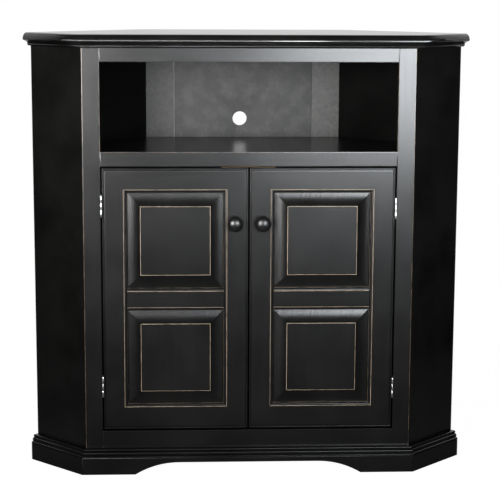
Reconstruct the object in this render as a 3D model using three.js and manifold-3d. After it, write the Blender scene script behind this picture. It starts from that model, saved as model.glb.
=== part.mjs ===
// Black painted corner television cabinet: a six-sided carcass with an open equipment bay
// above a cupboard that has two raised-panel doors.
// Millimetres. +X is the cabinet's right as seen from the front, -Y the front, +Z up.
// The pieces are drawn with Y = 0 on the front of the face frame; the last lines centre the whole.
import * as THREE from 'three';
import { mergeVertices } from 'three/addons/utils/BufferGeometryUtils.js';
import Module from 'manifold-3d';

// Driving dimensions: the plan
const faceWidth = 794;
const returnDepth = 128;
const bayDepth = 356;
const boardThickness = 18;
const backThickness = 12;
const frameThickness = 20;
const jointGap = 0.3;

// Driving dimensions: the heights
const baseHeight = 63;
const bottomRailHeight = 42;
const doorOpeningHeight = 649;
const middleRailHeight = 35;
const bayHeight = 213;
const topRailHeight = 33;
const topThickness = 32;
const frameFootHeight = 40;

// Face frame
const stileWidth = 42;
const frameArris = 0.8;

// Moulded edge of the top: reach from the face as a share of the overhang, height as a share of
// the thickness, from the underside up
const topOverhang = 24.5;
const topEdgeShares = [
  [0.18, 0], [0.36, 0.05], [0.42, 0.14], [0.46, 0.24], [0.66, 0.34], [0.9, 0.46],
  [0.98, 0.56], [1, 0.66], [0.98, 0.78], [0.92, 0.88], [0.82, 0.96], [0.7, 1],
];

// Base board: the moulded top edge as shares of its thickness and of the moulding's height
const baseThickness = 21;
const baseMouldingHeight = 20;
const baseEdgeShares = [
  [1, 0], [1, 0.08], [0.96, 0.14], [0.86, 0.2], [0.82, 0.34], [0.78, 0.44], [0.68, 0.5],
  [0.64, 0.66], [0.6, 0.8], [0.5, 0.94], [0.36, 1],
];
const archHalfSpan = 276;
const archHalfFlat = 170;
const archRise = 30;
const archShoulderSteps = 10;

// Cable hole in the back, from the middle of the back and from the bay floor
const cableHoleDiameter = 37;
const cableHoleOffset = -8;
const cableHoleHeight = 48;
const cableHoleSegments = 40;
const backBoardHalfWidth = 179;

// Doors
const doorSideGap = 3;
const doorTopGap = 3;
const doorBottomGap = 4.5;
const doorMeetingGap = 3;
const doorThickness = 20;
const doorStileWidth = 52;
const doorTopRailWidth = 53;
const doorBottomRailWidth = 56;
const doorMiddleRailWidth = 41;
const stickingWidth = 7;
const stickingDepth = 7;
const stickingQuirk = 1.6;
const beadWidth = 3.5;
const beadSink = 0.8;
const quirkWidth = 1.5;
const quirkDepth = 3;
const doorArris = 1.6;
const grooveDepth = 8;
const grooveLip = 0.5;
const panelTongue = 6;
const tongueLength = 7;
const coveWidth = 32;
const fieldProud = 2;
const fieldStep = 2;
const coveSteps = 8;

// Knobs
const knobDiameter = 38;
const knobReach = 30;
const knobOffset = 32;
const knobHeight = 618;
const knobShares = [
  [0.42, 0], [0.42, 0.08], [0.36, 0.14], [0.33, 0.3], [0.4, 0.42], [0.72, 0.5], [0.93, 0.58],
  [1, 0.68], [0.97, 0.79], [0.86, 0.89], [0.66, 0.96], [0.36, 0.995],
];
const knobSegments = 36;
const screwDiameter = 4;
const screwHeadDiameter = 9;
const screwHeadThickness = 2.5;
const screwBite = 14;
const screwClearance = 0.3;
const screwSegments = 20;

// Butt hinges
const hingeLength = 50;
const hingeBarrelDiameter = 5.5;
const hingePinDiameter = 2.4;
const hingePinClearance = 0.09;
const hingeLeafThickness = 1.3;
const hingeLeafDepth = 20;
const hingeProud = 3;
const hingeKnuckleGap = 0.3;
const hingeTipHeight = 1.2;
const hingeSegments = 24;
const lowerHingeHeight = 216;
const upperHingeHeight = 659;
const rightHingeDrop = 7;

// Adjustable shelf and its pins
const shelfHeight = 430;
const shelfThickness = 18;
const shelfHalfWidth = 455;
const shelfSetback = 30;
const shelfClearance = 2;
const shelfPinDiameter = 5;
const shelfPinSocket = 9;
const shelfPinReach = 10;
const shelfPinClearance = 0.3;
const shelfPinSegments = 16;
const shelfHolePitch = 64;
const shelfHolesEachWay = 1;
const shelfPinFrontInset = 72;
const shelfPinRearInset = 92;

// Magnetic catches under a stop block
const stopBlockWidth = 130;
const stopBlockDepth = 34;
const stopBlockHeight = 20;
const catchWidth = 30;
const catchFlangeWidth = 46;
const catchFlangeThickness = 2.4;
const catchHeight = 14;
const catchDepth = 16;
const catchOffset = 34;
const strikeWidth = 26;
const strikeHeight = 12;
const strikeThickness = 1.2;

// Derived heights
const bottomRailTop = baseHeight + bottomRailHeight;
const doorOpeningTop = bottomRailTop + doorOpeningHeight;
const bayFloorTop = doorOpeningTop + middleRailHeight;
const bayTop = bayFloorTop + bayHeight;
const carcassTop = bayTop + topRailHeight;

// Derived plan: the face's half width, the widest half width and the rear plane
const faceHalf = faceWidth / 2;
const widestHalf = faceHalf + returnDepth;
const bayBack = frameThickness + bayDepth;
const rearPlane = bayBack + backThickness;
const mitreSlope = Math.tan(Math.PI / 8);
const slant = Math.SQRT2;
const openingHalf = faceHalf - stileWidth;

const wasm = await Module();
wasm.setup();

// Materials
const blackPaint = new THREE.MeshStandardMaterial({ color: 0x17181a, roughness: 0.35 });
const bareWood = new THREE.MeshStandardMaterial({ color: 0x8a6f4e, roughness: 0.7 });
const knobPaint = new THREE.MeshStandardMaterial({ color: 0x0c0c0d, roughness: 0.15 });
const steel = new THREE.MeshStandardMaterial({ color: 0xb9babc, roughness: 0.3, metalness: 1 });
const plastic = new THREE.MeshStandardMaterial({ color: 0x5a4636, roughness: 0.5 });

// An outline of [across, along] points becomes a solid whose two ends follow the given functions
function extrudeBetween(outline, lowEnd, highEnd) {
  const shape = new THREE.Shape(outline.map(([u, v]) => new THREE.Vector2(u, v)));
  const geometry = new THREE.ExtrudeGeometry(shape, { depth: 1, steps: 1, bevelEnabled: false });
  const position = geometry.getAttribute('position');
  for (let i = 0; i < position.count; i += 1) {
    const end = position.getZ(i) > 1 / 2 ? highEnd : lowEnd;
    position.setZ(i, end(position.getX(i), position.getY(i)));
  }
  return bare(geometry);
}

// Keeps positions only, with shared corners merged
function bare(geometry) {
  geometry.deleteAttribute('normal');
  geometry.deleteAttribute('uv');
  return mergeVertices(geometry);
}

// An upright board from its plan outline
function board(plan, bottom, top) {
  return extrudeBetween(plan, () => bottom, () => top);
}

// Turns a geometry's own axes onto three given directions
function turned(geometry, xTo, yTo, zTo) {
  const basis = new THREE.Matrix4().makeBasis(
    new THREE.Vector3(...xTo),
    new THREE.Vector3(...yTo),
    new THREE.Vector3(...zTo),
  );
  geometry.applyMatrix4(basis);
  return basis.determinant() < 0 ? flipped(geometry) : geometry;
}

function flipped(geometry) {
  const index = geometry.getIndex();
  for (let i = 0; i < index.count; i += 3) {
    const second = index.getX(i + 1);
    index.setX(i + 1, index.getX(i + 2));
    index.setX(i + 2, second);
  }
  return geometry;
}

function mirrored(geometry) {
  return turned(geometry.clone(), [-1, 0, 0], [0, 1, 0], [0, 0, 1]);
}

// A solid through a stack of rings that all have the same number of corners
function ringLoft(rings) {
  const corners = rings[0].length;
  const faces = [];
  for (let k = 0; k + 1 < rings.length; k += 1) {
    for (let i = 0; i < corners; i += 1) {
      const next = (i + 1) % corners;
      const low = k * corners;
      const high = low + corners;
      faces.push(low + i, low + next, high + next, low + i, high + next, high + i);
    }
  }
  const last = (rings.length - 1) * corners;
  for (let i = 1; i + 1 < corners; i += 1) {
    faces.push(0, i + 1, i);
    faces.push(last, last + i, last + i + 1);
  }
  const geometry = new THREE.BufferGeometry();
  geometry.setAttribute('position', new THREE.Float32BufferAttribute(rings.flat(2), 3));
  geometry.setIndex(faces);
  return geometry;
}

function toSolid(geometry) {
  return new wasm.Manifold(new wasm.Mesh({
    numProp: 3,
    vertProperties: new Float32Array(geometry.getAttribute('position').array),
    triVerts: new Uint32Array(geometry.getIndex().array),
  }));
}

function toGeometry(solid) {
  const mesh = solid.getMesh();
  const geometry = new THREE.BufferGeometry();
  const vertices = new Float32Array(mesh.vertProperties);
  geometry.setAttribute('position', new THREE.BufferAttribute(vertices, 3));
  geometry.setIndex(new THREE.BufferAttribute(new Uint32Array(mesh.triVerts), 1));
  return geometry;
}

function cut(geometry, ...tools) {
  return toGeometry(tools.reduce((solid, tool) => solid.subtract(toSolid(tool)), toSolid(geometry)));
}

function joined(...geometries) {
  return toGeometry(geometries.map(toSolid).reduce((sum, solid) => sum.add(solid)));
}

// A cylinder between two heights on its own Z axis
function rod(radius, low, high, segments) {
  const outline = circle(radius, segments);
  return extrudeBetween(outline, () => low, () => high);
}

function circle(radius, segments) {
  return Array.from({ length: segments }, (_, i) => {
    const angle = (2 * Math.PI * i) / segments;
    return [radius * Math.cos(angle), radius * Math.sin(angle)];
  });
}

// A round solid from [radius, height] points, closed on its axis, which points forwards or up
const forwards = [[1, 0, 0], [0, -1, 0], [0, 0, -1]];
const upwards = [[1, 0, 0], [0, 0, 1], [0, -1, 0]];

function lathed(profile, segments, direction) {
  const points = profile.map(([r, h]) => new THREE.Vector2(r, h));
  return turned(bare(new THREE.LatheGeometry(points, segments)), ...direction);
}

const cabinet = new THREE.Group();

function addMesh(name, geometry, material, parent = cabinet) {
  const mesh = new THREE.Mesh(geometry, material);
  mesh.name = name;
  parent.add(mesh);
}

// Each side piece is drawn for the right and mirrored for the left
function addPair(name, geometry, material) {
  addMesh(`${name}_right`, geometry, material);
  addMesh(`${name}_left`, mirrored(geometry), material);
}

// Plan points on the mirror line between the face and the right return, a distance inside the face
function mitrePoint(inside) {
  return [faceHalf - inside * mitreSlope, inside];
}

// The face frame: two stiles at full height with three rails butted between them
function faceFrame() {
  const [frontX] = mitrePoint(0);
  const [rearX] = mitrePoint(frameThickness);
  const stile = [
    [openingHalf, 0],
    [frontX - frameArris, 0],
    [frontX - frameArris * mitreSlope, frameArris],
    [rearX - jointGap / 2, frameThickness],
    [openingHalf, frameThickness],
  ];
  addPair('face_stile', board(stile, frameFootHeight, carcassTop), blackPaint);
  const rail = [
    [-openingHalf, 0],
    [openingHalf, 0],
    [openingHalf, frameThickness],
    [-openingHalf, frameThickness],
  ];
  addMesh('face_rail_bottom', board(rail, frameFootHeight, bottomRailTop), blackPaint);
  addMesh('face_rail_middle', board(rail, doorOpeningTop, bayFloorTop), blackPaint);
  addMesh('face_rail_top', board(rail, bayTop, carcassTop), blackPaint);
}

// Distances along the slanted returns and walls are measured from their outer corners
function returnPoint(along, inside) {
  return [faceHalf + (along - inside) / slant, (along + inside) / slant];
}

function wallPoint(along, inside) {
  return [widestHalf - (along + inside) / slant, returnDepth + (along - inside) / slant];
}

const returnLength = returnDepth * slant;
const returnMitre = boardThickness * mitreSlope;
const wallToBack = (bayBack - returnDepth) * slant;
const wallStart = boardThickness + jointGap;

function returnPanels() {
  const plan = [
    returnPoint(jointGap, 0),
    returnPoint(returnLength, 0),
    returnPoint(returnLength, boardThickness),
    returnPoint(returnMitre + jointGap, boardThickness),
  ];
  const holes = shelfHoleTools(returnPoint, shelfPinFrontInset);
  addPair('return_panel', cut(board(plan, 0, carcassTop), ...holes), blackPaint);
}

function wallPanels() {
  const plan = [
    wallPoint(wallStart, 0),
    wallPoint(wallToBack, 0),
    wallPoint(wallToBack + boardThickness, boardThickness),
    wallPoint(wallStart, boardThickness),
  ];
  const holes = shelfHoleTools(wallPoint, wallToBack - shelfPinRearInset);
  addPair('wall_panel', cut(board(plan, 0, carcassTop), ...holes), blackPaint);
}

// Inward direction of a slanted panel, from its own point function
function inwardOf(pointOn) {
  const [x0, y0] = pointOn(0, 0);
  const [x1, y1] = pointOn(0, 1);
  return [x1 - x0, y1 - y0, 0];
}

// Sideways direction of a slanted panel
function alongOf(pointOn) {
  const [x0, y0] = pointOn(0, 0);
  const [x1, y1] = pointOn(1, 0);
  return [x1 - x0, y1 - y0, 0];
}

// Places a solid drawn along its own Z so that it points into the cabinet from a panel
function ontoPanel(geometry, pointOn, along, inside, height) {
  const [x, y] = pointOn(along, inside);
  const set = turned(geometry, alongOf(pointOn), [0, 0, 1], inwardOf(pointOn));
  return set.translate(x, y, height);
}

const shelfPinHeight = shelfHeight - shelfPinDiameter / 2 - shelfPinClearance;

// Blind holes for the shelf pins, one above another
function shelfHoleTools(pointOn, along) {
  const tools = [];
  const radius = shelfPinDiameter / 2 + shelfPinClearance;
  for (let step = -shelfHolesEachWay; step <= shelfHolesEachWay; step += 1) {
    const hole = rod(radius, -shelfPinSocket - shelfPinClearance, boardThickness, shelfPinSegments);
    const height = shelfPinHeight + step * shelfHolePitch;
    tools.push(ontoPanel(hole, pointOn, along, boardThickness, height));
  }
  return tools;
}

function shelfPins() {
  const radius = shelfPinDiameter / 2;
  const pin = () => rod(radius, -shelfPinSocket, shelfPinReach, shelfPinSegments);
  const front = ontoPanel(pin(), returnPoint, shelfPinFrontInset, boardThickness, shelfPinHeight);
  const rearAlong = wallToBack - shelfPinRearInset;
  const rear = ontoPanel(pin(), wallPoint, rearAlong, boardThickness, shelfPinHeight);
  addPair('shelf_pin_front', front, steel);
  addPair('shelf_pin_rear', rear, steel);
}

// A closed plan from its right half, listed from the front middle round to the rear middle
function bothSides(half) {
  return [...half, ...half.slice().reverse().map(([x, y]) => [-x, y])];
}

// Half the width inside the carcass at a depth, less a clearance measured square to the panels
function insideHalf(depth, clearance) {
  const room = (boardThickness + clearance) * slant;
  const besideReturn = faceHalf + depth - room;
  const besideWall = widestHalf + returnDepth - depth - room;
  return Math.min(besideReturn, besideWall);
}

function fixedShelf(top) {
  const half = [
    [insideHalf(frameThickness, jointGap), frameThickness],
    [insideHalf(returnDepth, jointGap), returnDepth],
    [insideHalf(bayBack, jointGap), bayBack],
  ];
  return board(bothSides(half), top - boardThickness, top);
}

function adjustableShelf() {
  const front = frameThickness + shelfSetback;
  const rear = bayBack - shelfClearance;
  const room = (boardThickness + shelfClearance) * slant;
  const half = [
    [insideHalf(front, shelfClearance), front],
    [shelfHalfWidth, shelfHalfWidth - faceHalf + room],
    [shelfHalfWidth, widestHalf + returnDepth - room - shelfHalfWidth],
    [insideHalf(rear, shelfClearance), rear],
  ];
  const plan = bothSides(half);
  addMesh('adjustable_shelf', board(plan, shelfHeight, shelfHeight + shelfThickness), blackPaint);
}

// The back: a wide board with the cable hole between two narrow ones
function backBoards() {
  const seam = backBoardHalfWidth;
  const plan = [[-seam, bayBack], [seam, bayBack], [seam, rearPlane], [-seam, rearPlane]];
  const holeRadius = cableHoleDiameter / 2;
  const hole = rod(holeRadius, bayBack - backThickness, rearPlane + backThickness, cableHoleSegments);
  turned(hole, [1, 0, 0], [0, 0, -1], [0, 1, 0]);
  hole.translate(cableHoleOffset, 0, bayFloorTop + cableHoleHeight);
  addMesh('back_board', cut(board(plan, 0, carcassTop), hole), blackPaint);
  const outerFront = widestHalf + returnDepth - bayBack;
  const strip = [
    [seam + jointGap, bayBack],
    [outerFront, bayBack],
    [outerFront - backThickness, rearPlane],
    [seam + jointGap, rearPlane],
  ];
  addPair('back_strip', board(strip, 0, carcassTop), blackPaint);
}

// The top overhangs the face and the returns, and ends flush with the walls and the back
function topPanel() {
  const rearHalf = widestHalf + returnDepth - rearPlane;
  const rings = topEdgeShares.map(([reachShare, heightShare]) => {
    const reach = topOverhang * reachShare;
    const height = carcassTop + topThickness * heightShare;
    const half = [
      [faceHalf + reach * mitreSlope, -reach],
      [widestHalf + reach / slant, returnDepth - reach / slant],
      [rearHalf, rearPlane],
    ];
    return bothSides(half).map(([x, y]) => [x, y, height]);
  });
  addMesh('top_panel', ringLoft(rings), blackPaint);
}

// Moulded base boards: the outline is [outward, up]
function baseOutline(inner) {
  const mouldingFoot = baseHeight - baseMouldingHeight;
  const moulding = baseEdgeShares.map(([outShare, upShare]) => [
    baseThickness * outShare,
    mouldingFoot + baseMouldingHeight * upShare,
  ]);
  return [[inner, 0], [baseThickness, 0], ...moulding, [inner, baseHeight]];
}

function baseBoards() {
  const endOf = (out) => faceHalf + out * mitreSlope - jointGap / 2;
  const front = extrudeBetween(baseOutline(0), (out) => -endOf(out), endOf);
  turned(front, [0, -1, 0], [0, 0, 1], [-1, 0, 0]);
  addMesh('base_front', cut(front, archTool()), blackPaint);
  const start = (out) => jointGap / 2 - out * mitreSlope;
  const side = extrudeBetween(baseOutline(jointGap), start, () => returnLength);
  const outward = inwardOf(returnPoint).map((value) => -value);
  turned(side, outward, [0, 0, 1], alongOf(returnPoint));
  side.translate(faceHalf, 0, 0);
  addPair('base_side', side, blackPaint);
}

// The shallow arch under the front base board: flat, with a round shoulder at each foot
function archTool() {
  const run = archHalfSpan - archHalfFlat;
  const radius = (run * run + archRise * archRise) / (2 * archRise);
  const sweep = Math.asin(run / radius);
  const half = [[archHalfSpan, -archRise]];
  for (let i = archShoulderSteps; i >= 0; i -= 1) {
    const angle = (sweep * i) / archShoulderSteps;
    half.push([archHalfFlat + radius * Math.sin(angle), archRise - radius * (1 - Math.cos(angle))]);
  }
  const tool = extrudeBetween(bothSides(half), () => -frameThickness, () => baseThickness * 2);
  return turned(tool, [1, 0, 0], [0, 0, 1], [0, -1, 0]);
}

// Door member outline: [across from the outer edge, depth from the front]
function beadedEdge() {
  const bead = beadWidth / 2;
  const rise = Math.SQRT1_2 * bead;
  return [
    [0, beadSink + bead],
    [bead - rise, beadSink + bead - rise],
    [bead, beadSink],
    [bead + rise, beadSink + bead - rise],
    [beadWidth, quirkDepth],
    [beadWidth + quirkWidth, quirkDepth],
    [beadWidth + quirkWidth, doorArris],
    [beadWidth + quirkWidth + doorArris * (1 - Math.SQRT1_2), doorArris * (1 - Math.SQRT1_2)],
    [beadWidth + quirkWidth + doorArris, 0],
  ];
}

const tongueFront = stickingDepth + grooveLip + jointGap;
const tongueRear = tongueFront + panelTongue;

// Inner edge: a quirk, an ovolo, then the groove that holds the panels
function grooveEdge(face) {
  const sight = face + stickingWidth;
  const bow = stickingWidth - stickingQuirk;
  const drop = stickingDepth - stickingQuirk;
  return [
    [face, 0],
    [face, stickingQuirk],
    [face + stickingQuirk, stickingQuirk],
    [face + stickingQuirk + bow * Math.SQRT1_2, stickingQuirk + drop * (1 - Math.SQRT1_2)],
    [sight, stickingDepth],
    [sight, tongueFront - jointGap],
    [sight - grooveDepth, tongueFront - jointGap],
    [sight - grooveDepth, tongueRear + jointGap],
    [sight, tongueRear + jointGap],
    [sight, doorThickness],
  ];
}

function edgeMember(face) {
  return [...beadedEdge(), ...grooveEdge(face), [0, doorThickness]];
}

// The middle rail has the grooved edge on both sides of its middle line
function middleMember() {
  const upper = grooveEdge(doorMiddleRailWidth / 2);
  return [...upper, ...upper.slice().reverse().map(([u, v]) => [-u, v])];
}

const doorWidth = openingHalf - doorSideGap - doorMeetingGap / 2;
const doorBottom = bottomRailTop + doorBottomGap;
const doorHeight = doorOpeningHeight - doorTopGap - doorBottomGap;
const panelHeight = (doorHeight - doorTopRailWidth - doorMiddleRailWidth - doorBottomRailWidth) / 2;
const panelWidth = doorWidth - 2 * doorStileWidth;
const hingeAxisX = openingHalf - doorSideGap / 2;
const hingeAxisY = -hingeProud;

// The door group's origin is on the hinge axis at floor level. Across runs from the hinge edge
// to the meeting edge, which is -X on the right door and +X on the left one.
function doorPieces(side) {
  const hingeEdge = doorSideGap / 2;
  const mitreAt = (across, ownWidth, otherWidth) => (across * otherWidth) / ownWidth;
  const stileTotal = doorStileWidth + stickingWidth;
  const topTotal = doorTopRailWidth + stickingWidth;
  const bottomTotal = doorBottomRailWidth + stickingWidth;
  const half = jointGap / 2;

  const stileLow = (u) => doorBottom + mitreAt(u, stileTotal, bottomTotal) + half;
  const stileHigh = (u) => doorBottom + doorHeight - mitreAt(u, stileTotal, topTotal) - half;
  const stile = () => extrudeBetween(edgeMember(doorStileWidth), stileLow, stileHigh);
  const hingeStile = turned(stile(), [-1, 0, 0], [0, 1, 0], [0, 0, 1]);
  hingeStile.translate(-hingeEdge, hingeProud, 0);
  const meetingStile = turned(stile(), [1, 0, 0], [0, 1, 0], [0, 0, 1]);
  meetingStile.translate(-hingeEdge - doorWidth, hingeProud, 0);

  const railEnds = (width, total) => [
    (u) => mitreAt(u, total, stileTotal) + half,
    (u) => width - mitreAt(u, total, stileTotal) - half,
  ];
  const topRail = extrudeBetween(edgeMember(doorTopRailWidth), ...railEnds(doorWidth, topTotal));
  turned(topRail, [0, 0, -1], [0, 1, 0], [-1, 0, 0]);
  topRail.translate(-hingeEdge, hingeProud, doorBottom + doorHeight);
  const bottomEnds = railEnds(doorWidth, bottomTotal);
  const bottomRail = extrudeBetween(edgeMember(doorBottomRailWidth), ...bottomEnds);
  turned(bottomRail, [0, 0, 1], [0, 1, 0], [-1, 0, 0]);
  bottomRail.translate(-hingeEdge, hingeProud, doorBottom);

  const middleHeight = doorBottom + doorBottomRailWidth + panelHeight + doorMiddleRailWidth / 2;
  const middleRail = extrudeBetween(
    middleMember(),
    () => stileTotal + jointGap,
    () => doorWidth - stileTotal - jointGap,
  );
  turned(middleRail, [0, 0, 1], [0, 1, 0], [-1, 0, 0]);
  middleRail.translate(-hingeEdge, hingeProud, middleHeight);

  const knobX = doorMeetingGap / 2 - hingeAxisX + knobOffset;
  const drilledStile = cut(meetingStile, knobScrewHole().translate(knobX, hingeProud, knobHeight));
  const lowerCentre = doorBottom + doorBottomRailWidth + panelHeight / 2;
  const upperCentre = lowerCentre + panelHeight + doorMiddleRailWidth;
  const panelX = -hingeEdge - doorWidth / 2;
  return [
    ['stile_hinge', hingeStile, blackPaint],
    ['stile_meeting', drilledStile, blackPaint],
    ['rail_top', topRail, blackPaint],
    ['rail_middle', middleRail, blackPaint],
    ['rail_bottom', bottomRail, blackPaint],
    ['panel_upper', raisedPanel().translate(panelX, hingeProud, upperCentre), blackPaint],
    ['panel_lower', raisedPanel().translate(panelX, hingeProud, lowerCentre), blackPaint],
    ['knob', knob().translate(knobX, hingeProud - jointGap, knobHeight), knobPaint],
    ['knob_screw', knobScrew().translate(knobX, hingeProud, knobHeight), steel],
    ['strike_plate', strikePlate().translate(catchOffset - hingeAxisX, hingeProud, 0), steel],
    ...hingeLeaves(side),
  ];
}

// A raised panel: a flat field, a small step and a hollow that falls to a thin tongue
function raisedPanel() {
  const halfX = panelWidth / 2 - stickingWidth;
  const halfZ = panelHeight / 2 - stickingWidth;
  const profile = [
    [-tongueLength, tongueRear],
    [-tongueLength, tongueFront],
    [0, tongueFront],
  ];
  const rise = tongueFront - (fieldStep - fieldProud);
  for (let i = 1; i <= coveSteps; i += 1) {
    const angle = (Math.PI * i) / (2 * coveSteps);
    profile.push([coveWidth * Math.sin(angle), tongueFront - rise * (1 - Math.cos(angle))]);
  }
  profile.push([coveWidth, -fieldProud]);
  const rings = profile.map(([inset, depth]) => {
    const x = halfX - inset;
    const z = halfZ - inset;
    return [[-x, depth, -z], [-x, depth, z], [x, depth, z], [x, depth, -z]];
  });
  return flipped(ringLoft(rings));
}

function knob() {
  const radius = knobDiameter / 2;
  const boreRadius = screwDiameter / 2 + screwClearance;
  const boreDepth = screwBite + screwClearance;
  const outside = knobShares.map(([wide, far]) => [radius * wide, knobReach * far]);
  const profile = [[0, boreDepth], [boreRadius, boreDepth], [boreRadius, 0], ...outside, [0, knobReach]];
  return lathed(profile, knobSegments, forwards);
}

// The screw runs from its head inside the door, through the stile and into the knob
function knobScrew() {
  const head = doorThickness + jointGap;
  const headRadius = screwHeadDiameter / 2;
  const shank = screwDiameter / 2;
  const profile = [
    [0, -head - screwHeadThickness],
    [headRadius * Math.SQRT1_2, -head - screwHeadThickness],
    [headRadius, -head - screwHeadThickness / 2],
    [headRadius, -head],
    [shank, -head],
    [shank, screwBite],
    [0, screwBite],
  ];
  return lathed(profile, screwSegments, forwards);
}

function knobScrewHole() {
  const radius = screwDiameter / 2 + screwClearance;
  const hole = rod(radius, -doorThickness, doorThickness * 2, screwSegments);
  return turned(hole, [1, 0, 0], [0, 0, -1], [0, 1, 0]);
}

const catchTop = doorOpeningTop + middleRailHeight - boardThickness - stopBlockHeight;
const catchFront = doorThickness + strikeThickness + jointGap;
const strikeCentre = catchTop - catchFlangeThickness - (catchHeight - catchFlangeThickness) / 2;

function strikePlate() {
  const plate = rectangle(strikeWidth, strikeHeight);
  const geometry = extrudeBetween(plate, () => doorThickness, () => doorThickness + strikeThickness);
  turned(geometry, [1, 0, 0], [0, 0, -1], [0, 1, 0]);
  return geometry.translate(0, 0, strikeCentre);
}

function rectangle(width, height) {
  const x = width / 2;
  const z = height / 2;
  return [[-x, -z], [x, -z], [x, z], [-x, z]];
}

// A stop block under the bay floor carries both magnetic catches
function catches() {
  const half = stopBlockWidth / 2;
  const blockRear = catchFront + stopBlockDepth;
  const plan = [[-half, catchFront], [half, catchFront], [half, blockRear], [-half, blockRear]];
  addMesh('stop_block', board(plan, catchTop, catchTop + stopBlockHeight), bareWood);
  const outer = catchFlangeWidth / 2;
  const inner = catchWidth / 2;
  const outline = [
    [-inner, catchTop - catchHeight],
    [inner, catchTop - catchHeight],
    [inner, catchTop - catchFlangeThickness],
    [outer, catchTop - catchFlangeThickness],
    [outer, catchTop],
    [-outer, catchTop],
    [-outer, catchTop - catchFlangeThickness],
    [-inner, catchTop - catchFlangeThickness],
  ];
  const body = extrudeBetween(outline, () => -catchFront - catchDepth, () => -catchFront);
  turned(body, [1, 0, 0], [0, 0, 1], [0, -1, 0]);
  body.translate(catchOffset, 0, 0);
  addPair('magnetic_catch', body, plastic);
}

// Butt hinge, drawn for the right door about its pin: the leaves lie in the gap beside the door
const knuckleHeight = (hingeLength - 2 * hingeKnuckleGap) / 3;

function knuckleSpans() {
  const step = knuckleHeight + hingeKnuckleGap;
  const foot = -hingeLength / 2;
  return [0, 1, 2].map((i) => [foot + i * step, foot + i * step + knuckleHeight]);
}

function hingeLeaf(towardsFrame, spans) {
  const edge = towardsFrame * (doorSideGap / 2);
  const inside = towardsFrame * (doorSideGap / 2 - hingeLeafThickness);
  const behind = hingeBarrelDiameter / 2 + jointGap;
  const across = [Math.min(edge, inside), Math.max(edge, inside)];
  const plate = ([left, right], front, rear) => [[left, front], [right, front], [right, rear], [left, rear]];
  const half = hingeLength / 2;
  const leaf = board(plate(across, behind, hingeProud + hingeLeafDepth), -half, half);
  const bore = hingePinDiameter / 2 + hingePinClearance;
  const solids = [leaf];
  for (const [low, high] of spans) {
    solids.push(rod(hingeBarrelDiameter / 2, low, high, hingeSegments));
    solids.push(board(plate(across, 0, behind + hingeLeafThickness), low, high));
  }
  return cut(joined(...solids), rod(bore, -hingeLength, hingeLength, hingeSegments));
}

function hingePin() {
  const radius = hingePinDiameter / 2;
  const tip = hingeBarrelDiameter / 2 - hingePinClearance;
  const end = hingeLength / 2 + hingeKnuckleGap;
  const top = end + hingeTipHeight;
  const profile = [
    [0, -hingeLength / 2],
    [radius, -hingeLength / 2],
    [radius, end],
    [tip, end],
    [tip, end + hingeTipHeight / 2],
    [tip / 2, top],
    [0, top],
  ];
  return lathed(profile, hingeSegments, upwards);
}

function hingeHeights(side) {
  const drop = side === 'right' ? rightHingeDrop : 0;
  return { lower: lowerHingeHeight - drop, upper: upperHingeHeight - drop };
}

function hingeLeaves(side) {
  const spans = [knuckleSpans()[1]];
  return Object.entries(hingeHeights(side)).map(([place, height]) => (
    [`hinge_leaf_${place}`, hingeLeaf(-1, spans).translate(0, 0, height), steel]
  ));
}

// The frame's leaves and the pins stay with the cabinet
function fixedHinges(side, parent, shaped) {
  const spans = [knuckleSpans()[0], knuckleSpans()[2]];
  for (const [place, height] of Object.entries(hingeHeights(side))) {
    const leaf = hingeLeaf(1, spans).translate(0, 0, height);
    addMesh(`hinge_${place}_frame_leaf_${side}`, shaped(leaf), steel, parent);
    addMesh(`hinge_${place}_pin_${side}`, shaped(hingePin().translate(0, 0, height)), steel, parent);
  }
}

function doorSide(side) {
  const sign = side === 'right' ? 1 : -1;
  const shaped = side === 'right' ? (geometry) => geometry : mirrored;
  const hingeLine = new THREE.Group();
  hingeLine.position.set(sign * hingeAxisX, hingeAxisY, 0);
  cabinet.add(hingeLine);
  for (const [name, geometry, material] of doorPieces(side)) {
    addMesh(`door_${side}_${name}`, shaped(geometry), material, hingeLine);
  }
  fixedHinges(side, hingeLine, shaped);
}

faceFrame();
returnPanels();
wallPanels();
backBoards();
topPanel();
addMesh('bay_floor', fixedShelf(bayFloorTop), blackPaint);
addMesh('cupboard_floor', fixedShelf(bottomRailTop), blackPaint);
adjustableShelf();
shelfPins();
baseBoards();
catches();
doorSide('left');
doorSide('right');

// The knobs reach furthest forward and the back boards furthest behind
cabinet.position.y = (knobReach + jointGap - rearPlane) / 2;

export default cabinet;
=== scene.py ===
"""Dresses the black corner television cabinet: edges, mouldings, paint, wear, fittings, light."""

import math

import bmesh
import bpy
from mathutils import Matrix, Vector


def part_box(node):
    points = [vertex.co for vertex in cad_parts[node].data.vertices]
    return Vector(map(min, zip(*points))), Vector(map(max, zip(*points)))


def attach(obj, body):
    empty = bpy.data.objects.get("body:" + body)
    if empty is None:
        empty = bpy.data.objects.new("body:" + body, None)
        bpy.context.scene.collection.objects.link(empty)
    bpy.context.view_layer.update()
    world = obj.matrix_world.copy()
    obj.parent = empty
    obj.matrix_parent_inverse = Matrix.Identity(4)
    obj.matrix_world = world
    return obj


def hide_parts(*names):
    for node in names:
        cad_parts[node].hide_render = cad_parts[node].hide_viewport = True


bl_info = {
    "name": "Corner Television Cabinet",
    "version": (1, 0, 0),
    "blender": (4, 5, 0),
    "location": "View3D > Sidebar > Cabinet",
    "description": "Builds the visible surfaces of a black painted corner television cabinet",
    "category": "Add Mesh",
}

MM = 0.001
BODY = "cabinet"
SIDES = {"right": 1, "left": -1}
# Edge attribute: rubbed wear on most pieces, and a painted shade along the seams on the back boards.
WEAR_AND_SEAM_SHADE = "wear"
BRUSHED = "brushed"

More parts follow.
